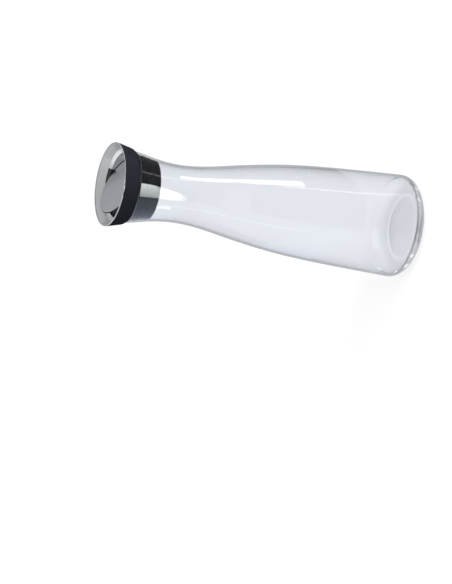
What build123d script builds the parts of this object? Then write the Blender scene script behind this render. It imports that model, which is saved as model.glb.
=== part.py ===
from build123d import *
from math import atan, cos, radians, sin, sqrt, tan
import os

# Glass carafe with a self-opening pourer. Millimetres. The origin is the centre of the base on the
# surface that it stands on, +Z is up, the carafe pours towards -X and the flap turns about Y.

# Glass body, from the foot up: how far each station is above the one before it, and its outer radius
foot_radius = 55.5
foot_corner_width = 18.5
foot_corner_height = 14.0
foot_ring_width = 4.0
punt_depth = 1.5
belly_rise = 70.0
belly_radius = 52.5
waist_rise = 66.0
waist_radius = 47.4
shoulder_rise = 57.0
shoulder_radius = 38.7
neck_rise = 64.0
neck_radius = 30.45
flare_rise = 30.0
flare_radius = 33.45
lip_rise = 24.4
lip_radius = 37.85
glass_wall = 2.0
glass_floor = 5.5
inner_corner_width = 17.0
inner_corner_height = 12.0
quarter_turn = 90.0

# Running gap between the closure and the glass, and the gap between fixed pieces of the closure
closure_gap = 0.3
fit_gap = 0.05

# Steel funnel with its throat, a part of a ball round the flap's pivot
sheet = 0.5
rim_rise = 19.6
rim_bead_radius = 0.6
rim_cone_inset = 0.36
cone_width = 5.95
cone_depth = 8.8
ledge_width = 4.0
pivot_rise = 5.74
throat_ball_depth = 13.0

# Soft plug sleeve inside the neck and the ring that locks it on
mouth_sleeve_wall = 1.4
end_sleeve_wall = 1.9
plug_depth = 24.8
lock_ring_height = 1.8
lock_spigot_height = 2.6
lock_spigot_wall = 1.0
lamella_count = 3
lamella_pitch = 6.5
lamella_width = 1.4
lamella_depth = 0.7
first_lamella_drop = 3.4

# Hinge ring and collar
ring_wall = 4.07
ring_inside_gap = 0.1
lug_width = 17.0
lug_recess = 0.15
collar_seat_thickness = 1.8
collar_wall = 1.5
collar_foot_rise = 2.7
collar_foot_draft = 0.8
collar_lip_reveal = 1.0
collar_foot_fillet = 2.2
collar_seat_fillet = 0.9
collar_crown_fillet = 0.5

# Flap: a round disc on a cross pin under its middle, shown tipped open
open_angle = 23.4
throat_gap = 1.0
pin_drop = 2.9
disc_thickness = 1.0
disc_edge_fillet = 0.3
seal_width = 4.4
seal_thickness = 0.8
seal_overhang = 0.45

# Cross pin and its bushes
pin_diameter = 2.0
pin_running_clearance = 0.05
pin_end_play = 0.2
pin_hole_clearance = 0.3
bush_diameter = 4.0
bush_end_wall = 0.8

# Carrier, studs and counterweight under the disc
carrier_end_gap = 1.0
carrier_width = 20.0
carrier_thickness = 1.5
carrier_corner = 4.0
pin_boss_wall = 1.0
arm_length = 11.0
arm_diameter = 8.0
weight_diameter = 24.0
weight_height = 8.0
weight_edge_fillet = 1.5
screw_diameter = 3.0
screw_head_diameter = 6.0
screw_head_height = 2.0
screw_engagement = 7.0
screw_slot_width = 0.8
screw_slot_depth = 0.8
stud_diameter = 2.4
stud_head_diameter = 4.0
stud_head_height = 0.9
stud_head_fillet = 0.5
stud_offset_x = 6.5
stud_offset_y = 17.0

# Stops that limit the flap
stop_diameter = 2.4
stop_spread_angle = 25.0
stop_clearance = 0.1
stop_reach = 2.0
stop_root = 1.2
stop_edge_fillet = 0.4


# Glass: values that follow from the sizes above
foot_flat_radius = foot_radius - foot_corner_width
punt_radius = foot_flat_radius - foot_ring_width
belly_height = foot_corner_height + belly_rise
waist_height = belly_height + waist_rise
shoulder_height = waist_height + shoulder_rise
neck_height = shoulder_height + neck_rise
flare_height = neck_height + flare_rise
lip_height = flare_height + lip_rise
lip_crown_radius = lip_radius - glass_wall / 2
inner_lip_radius = lip_radius - glass_wall
foot_lean = (-0.04, 1.0)
lip_lean = (0.14, 1.0)

# Closure: heights that follow from the lip, and radii that follow from the mouth
pivot_height = lip_height + pivot_rise
overall_height = lip_height + rim_rise
plug_bottom_height = lip_height - plug_depth
throat_end_height = plug_bottom_height + lock_ring_height
seat_height = lip_height + closure_gap
ring_bottom_height = seat_height + collar_seat_thickness
mouth_radius = inner_lip_radius - closure_gap - mouth_sleeve_wall - sheet
throat_radius = sqrt(mouth_radius**2 + pivot_rise**2)
disc_radius = sqrt((throat_radius - throat_gap) ** 2 - pin_drop**2)
ledge_end = (sqrt(throat_radius**2 - pin_drop**2), pivot_height + pin_drop)
ball_end = (sqrt(throat_radius**2 - throat_ball_depth**2), pivot_height - throat_ball_depth)
cone_foot = (ledge_end[0] + ledge_width, overall_height - cone_depth)
rim_outer_radius = cone_foot[0] + cone_width
bead_centre = (rim_outer_radius - rim_bead_radius, overall_height - rim_bead_radius)
cone_start = (bead_centre[0] - rim_cone_inset, bead_centre[1])
ring_inner_radius = throat_radius + sheet + ring_inside_gap
ring_radius = ring_inner_radius + ring_wall

# Flap: heights measured from the pin's axis while the flap is level
pin_radius = pin_diameter / 2
disc_top = pin_drop
disc_under = disc_top - disc_thickness
seal_under = disc_under - seal_thickness
seal_radius = disc_radius + seal_overhang
seal_inner_radius = disc_radius - seal_width
carrier_under = disc_under - carrier_thickness
carrier_length = 2 * (seal_inner_radius - carrier_end_gap)
weight_top = carrier_under - arm_length
weight_under = weight_top - weight_height


def spun(outline):
    """A solid of revolution about Z from a closed outline drawn as (radius, height)."""
    return revolve(Plane.XZ * make_face(outline), Axis.Z)


def spun_polygon(*points):
    return spun(Polyline(*points, close=True))


def tube(outer, inner, low, high):
    return spun_polygon((inner, low), (outer, low), (outer, high), (inner, high))


def disc(radius, low, high):
    return Pos(0, 0, (low + high) / 2) * Cylinder(radius, high - low)


def rod_y(radius, start, end, height=0.0):
    """A rod along Y from start to end."""
    middle = (start + end) / 2
    return Pos(0, middle, height) * Rot(90, 0, 0) * Cylinder(radius, abs(end - start))


def rod_x(radius, length):
    """A rod along X that starts at the origin."""
    return Pos(length / 2, 0, 0) * Rot(0, 90, 0) * Cylinder(radius, length)


def tipped(solid):
    """Place a flap piece, drawn level with the pin axis at the origin, at the open stop."""
    return Pos(0, 0, pivot_height) * Rot(0, open_angle, 0) * solid


def wall_points(inset):
    """Points up the side of the glass, moved inwards by inset."""
    stations = [
        (belly_radius, belly_height),
        (waist_radius, waist_height),
        (shoulder_radius, shoulder_height),
        (neck_radius, neck_height),
        (flare_radius, flare_height),
        (lip_radius, lip_height - glass_wall / 2),
    ]
    return [(radius - inset, height) for radius, height in stations]


def wall_line(start, inset):
    return Spline(start, *wall_points(inset), tangents=[foot_lean, lip_lean])


def glass_carafe():
    outer_corner = EllipticalCenterArc(
        (foot_flat_radius, foot_corner_height),
        foot_radius - foot_flat_radius,
        foot_corner_height,
        start_angle=270,
        arc_size=quarter_turn,
    )
    inner_foot_radius = foot_radius - glass_wall
    inner_corner_top = glass_floor + inner_corner_height
    inner_corner = EllipticalCenterArc(
        (inner_foot_radius - inner_corner_width, inner_corner_top),
        inner_corner_width,
        inner_corner_height,
        start_angle=270,
        arc_size=quarter_turn,
    )
    outer_wall = wall_line((foot_radius, foot_corner_height), 0)
    inner_wall = inner_wall_line(0)
    lip = ThreePointArc(
        outer_wall @ 1,
        (lip_crown_radius, lip_height),
        inner_wall @ 1,
    )
    punt = TangentArc((0, punt_depth), (punt_radius, 0), tangent=(1, 0))
    outline = Curve() + [
        punt,
        Line((punt_radius, 0), (foot_flat_radius, 0)),
        outer_corner,
        outer_wall,
        lip,
        inner_wall,
        inner_corner,
        Line((inner_foot_radius - inner_corner_width, glass_floor), (0, glass_floor)),
        Line((0, glass_floor), (0, punt_depth)),
    ]
    return spun(outline)


def inner_wall_line(inset):
    """The inside of the glass above its foot, moved inwards by inset."""
    start = (foot_radius - glass_wall - inset, glass_floor + inner_corner_height)
    return wall_line(start, glass_wall + inset)


def neck_radius_at(height):
    """Inside radius of the glass at a height."""
    level = Line((0, height), (foot_radius, height))
    return inner_wall_line(0).intersect(level).vertices()[0].X


def neck_space(inset):
    """The room inside the neck, kept inset away from the glass, carried straight up past the lip."""
    line = inner_wall_line(inset)
    low = line @ 0
    high = line @ 1
    outline = Curve() + [
        line,
        Polyline(high, (high.X, ring_bottom_height), (0, ring_bottom_height), (0, low.Y), low),
    ]
    return spun(outline)


throat_end_radius = neck_radius_at(throat_end_height) - closure_gap - end_sleeve_wall - sheet


def slab(low, high):
    return disc(rim_outer_radius, low, high)


def sheet_normal(start, end):
    """Unit vector square to a run of the funnel's inside line, pointing out of the funnel."""
    run_r = end[0] - start[0]
    run_z = end[1] - start[1]
    length = sqrt(run_r**2 + run_z**2)
    return (-run_z / length, run_r / length)


def mitre(point, before, after, offset):
    """The corner at point moved out by offset, square to both runs that meet there."""
    turn = before[0] * after[0] + before[1] * after[1]
    share = offset / (1 + turn)
    return (point[0] + share * (before[0] + after[0]), point[1] + share * (before[1] + after[1]))


def ledge_meets_throat(ledge_out, offset):
    """Where the ledge, moved out by offset, meets the throat's ball shape, moved out as far."""
    along_r, along_z = -ledge_out[1], ledge_out[0]
    start_r = ledge_end[0] + offset * ledge_out[0]
    start_z = ledge_end[1] + offset * ledge_out[1] - pivot_height
    half = start_r * along_r + start_z * along_z
    spare = (throat_radius + offset) ** 2 - start_r**2 - start_z**2
    step = sqrt(half**2 + spare) - half
    return (start_r + step * along_r, pivot_height + start_z + step * along_z)


def funnel_line(offset):
    """The funnel's line from the rim to the end of its throat, moved out by offset."""
    cone_out = sheet_normal(cone_start, cone_foot)
    ledge_out = sheet_normal(cone_foot, ledge_end)
    start = (cone_start[0] + offset * cone_out[0], cone_start[1] + offset * cone_out[1])
    corner = mitre(cone_foot, cone_out, ledge_out, offset)
    radius = throat_radius + offset
    shoulder = ledge_meets_throat(ledge_out, offset)
    grown = radius / throat_radius
    low_point = (ball_end[0] * grown, pivot_height - throat_ball_depth * grown)
    end = (throat_end_radius + offset, throat_end_height)
    ball_lean = (-throat_ball_depth, -ball_end[0])
    return Curve() + [
        Line(start, corner),
        Line(corner, shoulder),
        ThreePointArc(shoulder, (radius, pivot_height), low_point),
        Spline(low_point, end, tangents=[ball_lean, (0, -1)]),
    ]


def funnel_core(offset):
    """Everything inside the funnel's line, moved out by offset, as one solid."""
    line = funnel_line(offset)
    first = line @ 0
    last = line @ 1
    closing = Polyline(last, (0, last.Y), (0, first.Y), first)
    return spun(line + closing)


def hinge_windows(room):
    """Where the ring's lugs stand in the ledge and the throat over the pin's ends, grown by room."""
    low = ring_bottom_height - room
    block = Box(lug_width + 2 * room, 2 * cone_foot[0], cone_foot[1] - low)
    block = Pos(0, 0, (cone_foot[1] + low) / 2) * block
    return block & disc(cone_foot[0] - fit_gap + room, low, cone_foot[1])


def pour_funnel():
    skin = funnel_core(sheet) - funnel_core(0)
    bead = spun(Pos(*bead_centre) * CenterArc((0, 0), rim_bead_radius, 0, 360))
    return drilled(skin - hinge_windows(fit_gap) + bead)


def ledge_height(radius, offset):
    """Height of the ledge's underside at a radius, offset below the sheet's inside line."""
    slope = (cone_foot[1] - ledge_end[1]) / (cone_foot[0] - ledge_end[0])
    drop = offset * sqrt(1 + slope**2)
    return ledge_end[1] + slope * (radius - ledge_end[0]) - drop


def hinge_ring():
    clear = sheet + ring_inside_gap
    outer = min(ring_radius, cone_foot[0])
    body = spun_polygon(
        (ring_inner_radius, ring_bottom_height),
        (ring_radius, ring_bottom_height),
        (ring_radius, ledge_height(outer, clear)),
        (outer, ledge_height(outer, clear)),
        (ring_inner_radius, ledge_height(ring_inner_radius, clear)),
    )
    body += hinge_windows(0) - funnel_core(lug_recess)
    body -= rod_y(pin_radius + pin_hole_clearance, -ring_radius, ring_radius, pivot_height)
    for side in (-1, 1):
        start = side * ring_inner_radius
        body -= rod_y(bush_diameter / 2, start, 2 * side * ring_radius, pivot_height)
    return drilled(body)


def collar():
    clear = sheet + fit_gap
    cone_out = sheet_normal(cone_start, cone_foot)
    ledge_out = sheet_normal(cone_foot, ledge_end)
    top = overall_height - 2 * rim_bead_radius - fit_gap
    foot_radius_outside = ring_radius + collar_wall
    foot_height = lip_height + closure_gap + collar_foot_rise
    lean = (cone_start[0] - cone_foot[0]) / (cone_start[1] - cone_foot[1])
    inside_corner = mitre(cone_foot, cone_out, ledge_out, clear)
    inside_top = (inside_corner[0] + lean * (top - inside_corner[1]), top)
    seat_inner = inner_lip_radius + fit_gap
    pocket = ring_radius + fit_gap
    pocket_floor = ring_bottom_height - fit_gap
    outside = FilletPolyline(
        (rim_outer_radius, top),
        (foot_radius_outside, foot_height),
        (foot_radius_outside - collar_foot_draft, seat_height + collar_lip_reveal),
        (lip_crown_radius, seat_height),
        (seat_inner, seat_height),
        radius=[collar_foot_fillet, collar_seat_fillet, collar_crown_fillet],
    )
    inside = Polyline(
        (seat_inner, seat_height),
        (seat_inner, pocket_floor),
        (pocket, pocket_floor),
        (pocket, ledge_height(cone_foot[0], clear)),
        inside_corner,
        inside_top,
        (rim_outer_radius, top),
    )
    return spun(Curve() + [outside, inside])


def plug_sleeve():
    low = throat_end_height
    high = ring_bottom_height - fit_gap
    sleeve = neck_space(closure_gap + lamella_depth) & slab(low, high)
    full = neck_space(closure_gap)
    for index in range(lamella_count):
        middle = lip_height - first_lamella_drop - index * lamella_pitch
        sleeve += full & slab(middle - lamella_width / 2, middle + lamella_width / 2)
    sleeve += full & slab(low, low + lamella_width)
    sleeve += full & slab(lip_height - lamella_width, high)
    sleeve -= funnel_core(sheet)
    return drilled(sleeve)


def lock_ring():
    body = neck_space(closure_gap) & slab(plug_bottom_height, throat_end_height)
    spigot_radius = throat_end_radius - fit_gap
    spigot = disc(spigot_radius, plug_bottom_height, throat_end_height + lock_spigot_height)
    bore = disc(spigot_radius - lock_spigot_wall, 0, overall_height)
    return body + spigot - bore


def pivot_bush(side):
    start = side * ring_inner_radius
    end = side * (ring_radius - fit_gap)
    body = rod_y(bush_diameter / 2, start, end, pivot_height)
    mouth = end - side * bush_end_wall
    return body - rod_y(pin_radius + pin_running_clearance, start - side, mouth, pivot_height)


def stop_blank():
    """The room of a stop whose tip is at the origin, carried out through the ring along X."""
    return rod_x(stop_diameter / 2, 2 * ring_radius)


def closing_stop_height():
    return pivot_height + seal_under - stop_clearance - stop_diameter / 2


def opening_stop_height():
    """Just under the flap's sunk edge where it passes the stops at the open angle."""
    tilt = radians(open_angle)
    edge_angle = atan(tan(radians(stop_spread_angle)) * cos(tilt))
    edge_x = seal_radius * cos(edge_angle) * cos(tilt) + seal_under * sin(tilt)
    under = (seal_under - edge_x * sin(tilt)) / cos(tilt)
    return pivot_height + under - stop_clearance - stop_diameter / 2


def throat_at(height):
    return sqrt(throat_radius**2 - (height - pivot_height) ** 2)


def stop_place(azimuth, height):
    return Rot(0, 0, azimuth) * Pos(throat_at(height) - stop_reach, 0, height)


def closing_place(side):
    return stop_place(180 - side * stop_spread_angle, closing_stop_height())


def opening_place(side):
    return stop_place(side * stop_spread_angle, opening_stop_height())


def drilled(piece):
    """A piece with the holes that the stops pass through."""
    for side in (-1, 1):
        piece -= closing_place(side) * stop_blank()
        piece -= opening_place(side) * stop_blank()
    return piece


def stop_bud(place):
    length = stop_reach + sheet + stop_root
    bud = rod_x(stop_diameter / 2, length)
    bud = fillet(bud.edges().sort_by(Axis.X)[0], stop_edge_fillet)
    return place * bud


def flap_disc():
    plate = disc(disc_radius, disc_under, disc_top)
    plate = fillet(plate.edges(), disc_edge_fillet)
    return tipped(plate)


def flap_seal():
    ring = tube(seal_radius, seal_inner_radius, seal_under, disc_under)
    return tipped(ring)


def stud_places():
    return [Pos(x, y, 0) for x in (-stud_offset_x, stud_offset_x) for y in (-stud_offset_y, stud_offset_y)]


def flap_carrier():
    plate = Box(carrier_width, carrier_length, carrier_thickness)
    plate = Pos(0, 0, (carrier_under + disc_under) / 2) * plate
    plate = fillet(plate.edges().filter_by(Axis.Z), carrier_corner)
    half = carrier_length / 2
    boss_radius = pin_radius + pin_boss_wall
    room = 4 * boss_radius
    below_disc = Pos(0, 0, disc_under - room / 2) * Box(room, carrier_length, room)
    boss = rod_y(boss_radius, -half, half) & below_disc
    arm = disc(arm_diameter / 2, carrier_under - arm_length, disc_under)
    carrier = plate + boss + arm
    carrier -= rod_y(pin_radius, -half, half)
    for place in stud_places():
        carrier -= place * disc(stud_diameter / 2, carrier_under, disc_under)
    carrier -= disc(screw_diameter / 2, weight_top, weight_top + screw_engagement)
    return tipped(carrier)


def counterweight():
    body = disc(weight_diameter / 2, weight_under, weight_top)
    body = fillet(body.edges(), weight_edge_fillet)
    body -= disc(screw_diameter / 2, weight_under, weight_top)
    body -= disc(screw_head_diameter / 2 + fit_gap, weight_under, weight_under + screw_head_height)
    return tipped(body)


def counterweight_screw():
    shank = disc(screw_diameter / 2, weight_under, weight_top + screw_engagement)
    head = disc(screw_head_diameter / 2, weight_under, weight_under + screw_head_height)
    slot = Pos(0, 0, weight_under) * Box(2 * screw_head_diameter, screw_slot_width, 2 * screw_slot_depth)
    return tipped(shank + head - slot)


def stud_rivets():
    shank = disc(stud_diameter / 2, carrier_under, disc_under)
    head = disc(stud_head_diameter / 2, carrier_under - stud_head_height, carrier_under)
    head = fillet(head.edges().sort_by(Axis.Z)[0], stud_head_fillet)
    rivet = shank + head
    return Compound(children=[tipped(place * rivet) for place in stud_places()])


def pivot_pin():
    reach = ring_radius - fit_gap - bush_end_wall - pin_end_play
    return tipped(rod_y(pin_radius, -reach, reach))


pieces = {
    "glass_carafe": glass_carafe(),
    "collar": collar(),
    "pour_funnel": pour_funnel(),
    "hinge_ring": hinge_ring(),
    "plug_sleeve": plug_sleeve(),
    "lock_ring": lock_ring(),
    "pivot_bush_left": pivot_bush(1),
    "pivot_bush_right": pivot_bush(-1),
    "closing_stop_left": stop_bud(closing_place(1)),
    "closing_stop_right": stop_bud(closing_place(-1)),
    "opening_stop_left": stop_bud(opening_place(1)),
    "opening_stop_right": stop_bud(opening_place(-1)),
    "flap_disc": flap_disc(),
    "flap_seal": flap_seal(),
    "flap_carrier": flap_carrier(),
    "stud_rivets": stud_rivets(),
    "pivot_pin": pivot_pin(),
    "counterweight": counterweight(),
    "counterweight_screw": counterweight_screw(),
}

os.makedirs("parts", exist_ok=True)
for name, piece in pieces.items():
    export_step(piece, f"parts/{name}.step")
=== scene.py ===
import math

import bmesh
import bpy
import numpy as np
from mathutils import Matrix, Vector


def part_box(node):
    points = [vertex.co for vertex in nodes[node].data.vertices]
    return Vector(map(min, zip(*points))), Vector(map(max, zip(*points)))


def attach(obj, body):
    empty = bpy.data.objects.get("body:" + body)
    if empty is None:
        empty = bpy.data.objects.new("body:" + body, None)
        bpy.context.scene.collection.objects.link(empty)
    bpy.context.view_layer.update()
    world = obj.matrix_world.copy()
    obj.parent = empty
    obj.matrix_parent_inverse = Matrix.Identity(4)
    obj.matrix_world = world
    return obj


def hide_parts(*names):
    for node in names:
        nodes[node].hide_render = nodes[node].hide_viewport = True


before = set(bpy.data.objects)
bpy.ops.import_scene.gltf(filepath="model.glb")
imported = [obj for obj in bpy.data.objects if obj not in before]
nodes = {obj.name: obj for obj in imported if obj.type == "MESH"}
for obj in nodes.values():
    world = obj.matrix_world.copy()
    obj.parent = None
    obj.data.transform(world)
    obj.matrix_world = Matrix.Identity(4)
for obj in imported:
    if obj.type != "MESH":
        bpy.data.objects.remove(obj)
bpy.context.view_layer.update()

# Metres throughout. Z is up the carafe, -X is the side it pours over, Y is the flap's pin.
MM = 0.001

# How finely the glass is drawn: round a turn, along each span of a smooth line and where the last
# span's extra point sits, along the corners and the lip, and across the underside and the floor
TURN_STEPS = 480
SPAN_STEPS = 14
LATE_SHARE = 0.99
ARC_STEPS = 24
LIP_STEPS = 12
PUNT_POINTS = 20
FLOOR_POINTS = 12

# A point of the outline nearer to the axis than this is on it
POLE_RADIUS = 1e-7

# Glass: outer radius at each height above the base, foot to lip, as the CAD body has it
FOOT_RADIUS = 55.5 * MM
FOOT_CORNER_WIDTH = 18.5 * MM
FOOT_CORNER_HEIGHT = 14.0 * MM
FOOT_RING_WIDTH = 4.0 * MM
PUNT_DEPTH = 1.5 * MM
WALL_STATIONS = [
    (52.5 * MM, 84.0 * MM),
    (47.4 * MM, 150.0 * MM),
    (38.7 * MM, 207.0 * MM),
    (30.45 * MM, 271.0 * MM),
    (33.45 * MM, 301.0 * MM),
    (37.85 * MM, 324.4 * MM),
]
FOOT_LEAN = (-0.04, 1.0)
LIP_LEAN = (0.14, 1.0)
GLASS_WALL = 2.0 * MM
GLASS_FLOOR = 5.5 * MM
INNER_CORNER_WIDTH = 17.0 * MM
INNER_CORNER_HEIGHT = 12.0 * MM
LIP_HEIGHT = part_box("glass_carafe")[1].z

# Camera of the photograph: place and attitude in the carafe's frame
CAMERA_PLACE = Vector((0.53805, -2.32500, 1.20440))
CAMERA_RIGHT = Vector((0.22576, -0.33731, -0.91392))
CAMERA_UP = Vector((0.94329, 0.31009, 0.11856))
CAMERA_BACK = Vector((0.24341, -0.88886, 0.38819))
CAMERA_LENS = 151.02
CAMERA_SENSOR = 36.0
CAMERA_NEAR = 0.05
CAMERA_FAR = 50.0

# Studio
WHITE = (1, 1, 1)
FLOOR_HALF_WIDTH = 12.0
FLOOR_GLOW = 1.16
FLOOR_GLOW_SHARE = 0.70
MIRRORED_FLOOR_COLOUR = (0.94, 0.96, 1.0)
MIRRORED_FLOOR_GLOW = 0.52
SECTOR_STEPS = 24
LAMP_AIM = Vector((0, 0, 0.2))
WORLD_COLOUR = (0.94, 0.95, 0.97, 1.0)
WORLD_STRENGTH = 0.60

# Light that gets through the glass foot crosses many faces
GLASS_BOUNCES = 32
OTHER_BOUNCES = 16

# Most of a noise texture lies between these two
NOISE_LOW = 0.3
NOISE_HIGH = 0.7

# How far a plastic's roughness drifts to either side
ROUGHNESS_DRIFT = 0.05


def unit(vector):
    vector = np.asarray(vector, float)
    return vector / np.linalg.norm(vector)


def smooth_line(points, start_lean, end_lean):
    """A cubic through the points, evenly curved, that leaves and arrives along the two leans.

    One more point close to its end keeps the shading of the last span apart from what follows.
    """
    points = np.asarray(points, float)
    steps = np.linalg.norm(np.diff(points, axis=0), axis=1)
    at = np.concatenate([[0.0], np.cumsum(steps)])
    count = len(points)
    system = np.zeros((count, count))
    wanted = np.zeros((count, 2))
    system[0, 0] = system[-1, -1] = 1.0
    wanted[0], wanted[-1] = unit(start_lean), unit(end_lean)
    for i in range(1, count - 1):
        before, after = steps[i - 1], steps[i]
        system[i, i - 1] = after
        system[i, i] = 2 * (before + after)
        system[i, i + 1] = before
        rise_before = (points[i] - points[i - 1]) / before
        rise_after = (points[i + 1] - points[i]) / after
        wanted[i] = 3 * (after * rise_before + before * rise_after)
    slopes = np.linalg.solve(system, wanted)
    line = [points[0]]
    for i in range(count - 1):
        length = at[i + 1] - at[i]
        shares = [k / SPAN_STEPS for k in range(1, SPAN_STEPS + 1)]
        if i == count - 2:
            shares.insert(-1, LATE_SHARE)
        for t in shares:
            line.append(
                (2 * t**3 - 3 * t**2 + 1) * points[i]
                + (t**3 - 2 * t**2 + t) * length * slopes[i]
                + (3 * t**2 - 2 * t**3) * points[i + 1]
                + (t**3 - t**2) * length * slopes[i + 1]
            )
    return [tuple(p) for p in line]


def arc(centre, width, height, start, end, steps=ARC_STEPS):
    """Points on an ellipse from one angle to the other, in degrees."""
    angles = np.radians(np.linspace(start, end, steps + 1))
    return [(centre[0] + width * math.cos(a), centre[1] + height * math.sin(a)) for a in angles]


def glass_outline():
    """The outline of the glass, from the middle of its underside round the lip to its floor."""
    flat = FOOT_RADIUS - FOOT_CORNER_WIDTH
    punt = flat - FOOT_RING_WIDTH
    ball = (punt**2 + PUNT_DEPTH**2) / (2 * PUNT_DEPTH)
    punt_radii = np.linspace(0, punt, PUNT_POINTS)
    under = [(r, PUNT_DEPTH - ball + math.sqrt(ball**2 - r**2)) for r in punt_radii]
    corner = arc((flat, FOOT_CORNER_HEIGHT), FOOT_CORNER_WIDTH, FOOT_CORNER_HEIGHT, 270, 360)
    outer = smooth_line([(FOOT_RADIUS, FOOT_CORNER_HEIGHT)] + WALL_STATIONS, FOOT_LEAN, LIP_LEAN)
    inner_foot = FOOT_RADIUS - GLASS_WALL
    inner_stations = [(r - GLASS_WALL, z) for r, z in WALL_STATIONS]
    inner_top = GLASS_FLOOR + INNER_CORNER_HEIGHT
    inner = smooth_line([(inner_foot, inner_top)] + inner_stations, FOOT_LEAN, LIP_LEAN)
    lip_middle = (WALL_STATIONS[-1][0] - GLASS_WALL / 2, WALL_STATIONS[-1][1])
    lip = arc(lip_middle, GLASS_WALL / 2, LIP_HEIGHT - lip_middle[1], 0, 180, LIP_STEPS)
    inner_middle = (inner_foot - INNER_CORNER_WIDTH, inner_top)
    inner_corner = arc(inner_middle, INNER_CORNER_WIDTH, INNER_CORNER_HEIGHT, 360, 270)
    floor = [(r, GLASS_FLOOR) for r in np.linspace(inner_middle[0], 0, FLOOR_POINTS)]
    return under + corner + outer[1:] + lip[1:-1] + inner[::-1] + inner_corner[1:] + floor[1:]


def turned(name, outline):
    """A mesh turned about Z from (radius, height) points that start and end on the axis."""
    mesh = bpy.data.meshes.new(name)
    shape = bmesh.new()
    rings = []
    for radius, height in outline:
        if radius < POLE_RADIUS:
            rings.append([shape.verts.new((0, 0, height))])
            continue
        ring = []
        for k in range(TURN_STEPS):
            a = 2 * math.pi * k / TURN_STEPS
            ring.append(shape.verts.new((radius * math.cos(a), radius * math.sin(a), height)))
        rings.append(ring)
    for low, high in zip(rings, rings[1:]):
        for k in range(TURN_STEPS):
            n = (k + 1) % TURN_STEPS
            if len(low) == 1:
                shape.faces.new((low[0], high[n], high[k]))
            elif len(high) == 1:
                shape.faces.new((low[k], low[n], high[0]))
            else:
                shape.faces.new((low[k], low[n], high[n], high[k]))
    bmesh.ops.recalc_face_normals(shape, faces=shape.faces)
    for face in shape.faces:
        face.smooth = True
    shape.to_mesh(mesh)
    shape.free()
    piece = bpy.data.objects.new(name, mesh)
    bpy.context.scene.collection.objects.link(piece)
    return piece


class Nodes:
    """A short way to write a material's nodes."""

    def __init__(self, name):
        self.material = bpy.data.materials.new(name)
        self.material.use_nodes = True
        self.tree = self.material.node_tree
        self.shader = self.tree.nodes["Principled BSDF"]
        self.output = self.tree.nodes["Material Output"]

    def add(self, kind, **values):
        node = self.tree.nodes.new(kind)
        for key, value in values.items():
            setattr(node, key, value)
        return node

    def link(self, source, target):
        self.tree.links.new(source, target)

    def feed(self, value, socket):
        """Give a socket a number, or link another node's output to it."""
        if isinstance(value, (int, float)):
            socket.default_value = value
        else:
            self.link(value, socket)

    def set(self, **values):
        for key, value in values.items():
            self.shader.inputs[key.replace("_", " ")].default_value = value

    def show(self, look):
        self.link(look, self.output.inputs["Surface"])

    def place(self):
        return self.add("ShaderNodeTexCoord").outputs["Object"]

    def noise(self, vector, scale, detail):
        node = self.add("ShaderNodeTexNoise")
        node.inputs["Scale"].default_value = scale
        node.inputs["Detail"].default_value = detail
        self.link(vector, node.inputs["Vector"])
        return node.outputs["Fac"]

    def ramp(self, value, low, high, from_low=NOISE_LOW, from_high=NOISE_HIGH):
        node = self.add("ShaderNodeMapRange")
        node.inputs["From Min"].default_value = from_low
        node.inputs["From Max"].default_value = from_high
        node.inputs["To Min"].default_value = low
        node.inputs["To Max"].default_value = high
        self.link(value, node.inputs["Value"])
        return node.outputs["Result"]

    def clouds(self, place, scale, dark, light):
        """Colour that drifts between two tints."""
        node = self.add("ShaderNodeMix", data_type="RGBA")
        node.inputs["A"].default_value = (*dark, 1.0)
        node.inputs["B"].default_value = (*light, 1.0)
        drift = self.ramp(self.noise(place, scale, detail=3.0), low=0.0, high=1.0)
        self.link(drift, node.inputs["Factor"])
        self.link(node.outputs["Result"], self.shader.inputs["Base Color"])

    def polish(self, pattern, smooth, rough):
        """Roughness that follows a pattern."""
        self.link(self.ramp(pattern, smooth, rough), self.shader.inputs["Roughness"])

    def maths(self, operation, *values):
        node = self.add("ShaderNodeMath", operation=operation)
        for value, socket in zip(values, node.inputs):
            self.feed(value, socket)
        return node.outputs[0]

    def bump(self, height, strength, distance):
        node = self.add("ShaderNodeBump")
        node.inputs["Strength"].default_value = strength
        node.inputs["Distance"].default_value = distance
        self.link(height, node.inputs["Height"])
        self.link(node.outputs["Normal"], self.shader.inputs["Normal"])

    def emission(self, colour, strength):
        glow = self.add("ShaderNodeEmission")
        glow.inputs["Color"].default_value = (*colour, 1.0)
        self.feed(strength, glow.inputs["Strength"])
        return glow.outputs[0]

    def mix(self, factor, first, second):
        both = self.add("ShaderNodeMixShader")
        self.feed(factor, both.inputs["Fac"])
        self.link(first, both.inputs[1])
        self.link(second, both.inputs[2])
        return both.outputs[0]

    def reflected(self):
        """1 for a look that has bounced off glass or metal on its way, 0 for a straight one."""
        path = self.add("ShaderNodeLightPath")
        return self.maths("MINIMUM", path.outputs["Glossy Depth"], 1.0)


def round_coordinates(m, vector):
    """Radius, turn and height of a point, as a vector whose noise makes rings round Z."""
    turn_share = 0.0006
    split = m.add("ShaderNodeSeparateXYZ")
    m.link(vector, split.inputs[0])
    across = m.maths("MULTIPLY", split.outputs[0], split.outputs[0])
    deep = m.maths("MULTIPLY", split.outputs[1], split.outputs[1])
    radius = m.maths("SQRT", m.maths("ADD", across, deep))
    turn = m.maths("ARCTAN2", split.outputs[1], split.outputs[0])
    joined = m.add("ShaderNodeCombineXYZ")
    m.link(radius, joined.inputs[0])
    m.link(m.maths("MULTIPLY", turn, turn_share), joined.inputs[1])
    m.link(split.outputs[2], joined.inputs[2])
    return joined.outputs[0]


def clear_glass():
    m = Nodes("clear_glass")
    m.set(Base_Color=(0.897, 0.911, 0.935, 1.0), Roughness=0.0, IOR=1.474, Transmission_Weight=1.0)
    return m.material


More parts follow.
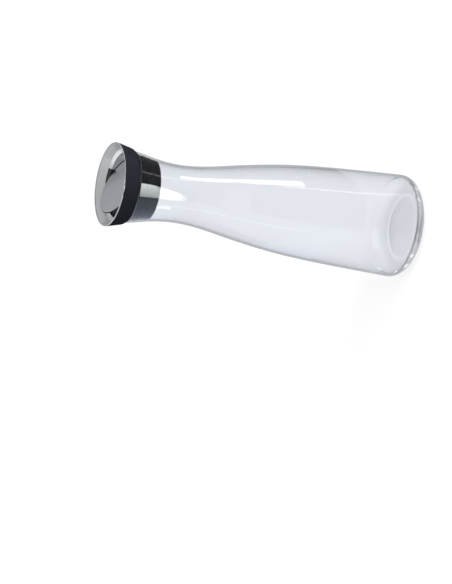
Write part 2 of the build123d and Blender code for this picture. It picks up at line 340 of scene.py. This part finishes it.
def silicone(name, dark, light, specular):
    m = Nodes(name)
    place = m.place()
    m.clouds(place, 60.0, dark, light)
    m.polish(m.noise(place, scale=240.0, detail=3.0), smooth=0.48, rough=0.60)
    m.set(Specular_IOR_Level=specular)
    m.bump(m.noise(place, scale=2600.0, detail=3.0), strength=0.12, distance=0.05 * MM)
    return m.material


def plastic(name, dark, light, roughness):
    m = Nodes(name)
    place = m.place()
    m.clouds(place, 90.0, dark, light)
    patches = m.noise(place, scale=500.0, detail=2.0)
    m.polish(patches, smooth=roughness - ROUGHNESS_DRIFT, rough=roughness + ROUGHNESS_DRIFT)
    m.bump(m.noise(place, scale=3500.0, detail=2.0), strength=0.08, distance=0.04 * MM)
    return m.material


def steel(name, dark, light, ring_scale, strength):
    m = Nodes(name)
    place = m.place()
    rings = m.noise(round_coordinates(m, place), ring_scale, detail=2.0)
    m.clouds(place, 45.0, dark, light)
    m.set(Metallic=1.0)
    m.polish(rings, smooth=0.20, rough=0.29)
    m.bump(rings, strength, distance=0.03 * MM)
    return m.material


def dress(piece, material):
    piece.data.materials.clear()
    piece.data.materials.append(material)


GLASS = clear_glass()
COLLAR_SILICONE = silicone(
    "collar_silicone", dark=(0.0160, 0.0165, 0.0215), light=(0.0198, 0.0204, 0.0262), specular=0.0
)
PLUG_SILICONE = silicone(
    "plug_silicone", dark=(0.0065, 0.0068, 0.0080), light=(0.0095, 0.0098, 0.0115), specular=0.35
)
DARK_PLASTIC = plastic(
    "dark_plastic", dark=(0.012, 0.012, 0.014), light=(0.020, 0.020, 0.023), roughness=0.38
)
BUSH_PLASTIC = plastic(
    "bush_plastic", dark=(0.62, 0.62, 0.58), light=(0.70, 0.70, 0.66), roughness=0.35
)
FUNNEL_STEEL = steel(
    "polished_steel", dark=(0.68, 0.69, 0.70), light=(0.74, 0.75, 0.76), ring_scale=900.0, strength=0.05
)
SATIN_STEEL = steel(
    "satin_steel", dark=(0.50, 0.50, 0.53), light=(0.56, 0.56, 0.59), ring_scale=1500.0, strength=0.04
)

NODE_MATERIALS = {
    "collar": COLLAR_SILICONE,
    "plug_sleeve": PLUG_SILICONE,
    "closing_stop_left": PLUG_SILICONE,
    "closing_stop_right": PLUG_SILICONE,
    "opening_stop_left": PLUG_SILICONE,
    "opening_stop_right": PLUG_SILICONE,
    "flap_seal": PLUG_SILICONE,
    "pour_funnel": FUNNEL_STEEL,
    "pivot_pin": FUNNEL_STEEL,
    "counterweight_screw": FUNNEL_STEEL,
    "flap_disc": SATIN_STEEL,
    "counterweight": SATIN_STEEL,
    "stud_rivets": SATIN_STEEL,
    "hinge_ring": DARK_PLASTIC,
    "lock_ring": DARK_PLASTIC,
    "flap_carrier": DARK_PLASTIC,
    "pivot_bush_left": BUSH_PLASTIC,
    "pivot_bush_right": BUSH_PLASTIC,
}
for node_name, node_material in NODE_MATERIALS.items():
    dress(nodes[node_name], node_material)

glass = turned("glass_body", glass_outline())
dress(glass, GLASS)
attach(glass, "glass")
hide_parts("glass_carafe")


def floor_paint():
    """Matt white paint. Eyes see it almost shadowless, and reflections see a dimmer floor."""
    m = Nodes("floor_paint")
    m.set(Base_Color=(0.80, 0.80, 0.81, 1.0), Roughness=0.9, Specular_IOR_Level=0.0)
    matt = m.shader.outputs[0]
    path = m.add("ShaderNodeLightPath")
    seen = m.maths("MAXIMUM", path.outputs["Is Camera Ray"], path.outputs["Is Glossy Ray"])
    seen = m.maths("MAXIMUM", seen, path.outputs["Is Transmission Ray"])
    white = m.mix(FLOOR_GLOW_SHARE, matt, m.emission(WHITE, FLOOR_GLOW))
    mirrored = m.emission(MIRRORED_FLOOR_COLOUR, MIRRORED_FLOOR_GLOW)
    m.show(m.mix(seen, matt, m.mix(m.reflected(), white, mirrored)))
    return m.material


def card_paint(name, colour, strength, fade, slope):
    """A card that only reflections see.

    With a fade and a slope, it dims to nothing from one Y to the other, and that is multiplied by a
    share that goes from one value to another between two places along X.
    """
    m = Nodes(name)
    if fade:
        split = m.add("ShaderNodeSeparateXYZ")
        m.link(m.place(), split.inputs[0])
        faded = m.ramp(split.outputs[1], strength, 0.0, *fade)
        strength = m.maths("MULTIPLY", faded, m.ramp(split.outputs[0], *slope))
    clear = m.add("ShaderNodeBsdfTransparent").outputs[0]
    m.show(m.mix(m.reflected(), clear, m.emission(colour, strength)))
    return m.material


def flat_piece(name, corners, material):
    """A flat piece of the studio: the floor, or a card."""
    mesh = bpy.data.meshes.new(name)
    mesh.from_pydata(corners, [], [tuple(range(len(corners)))])
    piece = bpy.data.objects.new(name, mesh)
    bpy.context.scene.collection.objects.link(piece)
    piece.data.materials.append(material)
    return piece


def sector(inner, outer, start, end, height):
    """The corners of a ring's sector round the carafe, from one azimuth to the other in degrees."""
    turns = np.radians(np.linspace(start, end, SECTOR_STEPS + 1))
    far = [(outer * math.cos(a), outer * math.sin(a), height) for a in turns]
    near = [(inner * math.cos(a), inner * math.sin(a), height) for a in turns[::-1]]
    return far + near


def studio_floor():
    half = FLOOR_HALF_WIDTH
    corners = [(-half, -half, 0), (half, -half, 0), (half, half, 0), (-half, half, 0)]
    flat_piece("floor", corners, floor_paint())


def card(name, corners, colour, strength, fade=None, slope=None):
    piece = flat_piece(name, corners, card_paint(name + "_paint", colour, strength, fade, slope))
    piece.visible_camera = False
    piece.visible_diffuse = False
    piece.visible_shadow = False
    return piece


def studio_cards():
    """Cards just over the floor round the carafe, and one beside its neck."""
    bounce = sector(inner=0.10, outer=4.0, start=-108.0, end=-200.0, height=1 * MM)
    card("bounce_card", bounce, colour=(0.92, 0.96, 1.0), strength=0.66)
    blue = sector(inner=0.30, outer=0.65, start=-108.0, end=-212.0, height=2 * MM)
    card("blue_card", blue, colour=(0.74, 0.81, 1.0), strength=0.86)
    dark = sector(inner=0.25, outer=4.0, start=-100.0, end=62.0, height=1 * MM)
    card("dark_card", dark, colour=(0.94, 0.96, 1.0), strength=0.10)
    long = sector(inner=0.58, outer=2.4, start=-13.0, end=1.5, height=2 * MM)
    card("long_card", long, colour=WHITE, strength=4.0)
    thin = sector(inner=0.12, outer=0.95, start=-19.0, end=-15.5, height=3 * MM)
    card("thin_card", thin, colour=WHITE, strength=2.0)
    window_height = 0.25
    window = [(0.094, -0.155), (-0.030, -0.155), (-0.014, -0.080), (0.042, -0.080)]
    neck_card = card(
        "neck_card",
        [(x, y, window_height) for x, y in window],
        colour=(0.92, 1.0, 0.98),
        strength=12.0,
        fade=(-0.085, -0.080),
        slope=(0.58, 1.42, -0.020, 0.050),
    )
    neck_card.visible_transmission = False


def lamp(name, place, width, height, power):
    data = bpy.data.lights.new(name, "AREA")
    data.shape = "RECTANGLE"
    data.size = width
    data.size_y = height
    data.energy = power
    light = bpy.data.objects.new(name, data)
    light.location = place
    light.rotation_mode = "QUATERNION"
    light.rotation_quaternion = (LAMP_AIM - Vector(place)).to_track_quat("-Z", "Y")
    light.visible_camera = False
    bpy.context.scene.collection.objects.link(light)
    return light


def studio_lights():
    key = lamp("key_light", place=(2.3, -1.4, 2.2), width=2.8, height=2.8, power=80.0)
    key.visible_glossy = False
    lamp("fill_light", place=(-2.2, -1.9, 1.5), width=2.4, height=2.0, power=1.4)
    lamp("back_light", place=(-1.48, 1.24, 1.9), width=1.6, height=1.6, power=4.4)
    side = lamp("side_light", place=(2.6, -0.45, 0.9), width=1.5, height=1.5, power=42.0)
    side.visible_glossy = False
    side.visible_transmission = False


def studio_world():
    world = bpy.data.worlds.new("studio")
    world.use_nodes = True
    back = world.node_tree.nodes["Background"]
    back.inputs["Color"].default_value = WORLD_COLOUR
    back.inputs["Strength"].default_value = WORLD_STRENGTH
    bpy.context.scene.world = world


def photo_camera():
    data = bpy.data.cameras.new("photo_camera")
    data.lens = CAMERA_LENS
    data.sensor_width = CAMERA_SENSOR
    data.clip_start = CAMERA_NEAR
    data.clip_end = CAMERA_FAR
    camera = bpy.data.objects.new("photo_camera", data)
    turn = Matrix((CAMERA_RIGHT, CAMERA_UP, CAMERA_BACK)).transposed()
    camera.matrix_world = Matrix.Translation(CAMERA_PLACE) @ turn.to_4x4()
    bpy.context.scene.collection.objects.link(camera)
    bpy.context.scene.camera = camera


photo_camera()
studio_floor()
studio_cards()
studio_lights()
studio_world()
bpy.context.scene.view_settings.view_transform = "Standard"
cycles = bpy.context.scene.cycles
cycles.max_bounces = GLASS_BOUNCES
cycles.transmission_bounces = GLASS_BOUNCES
cycles.glossy_bounces = OTHER_BOUNCES
cycles.transparent_max_bounces = OTHER_BOUNCES
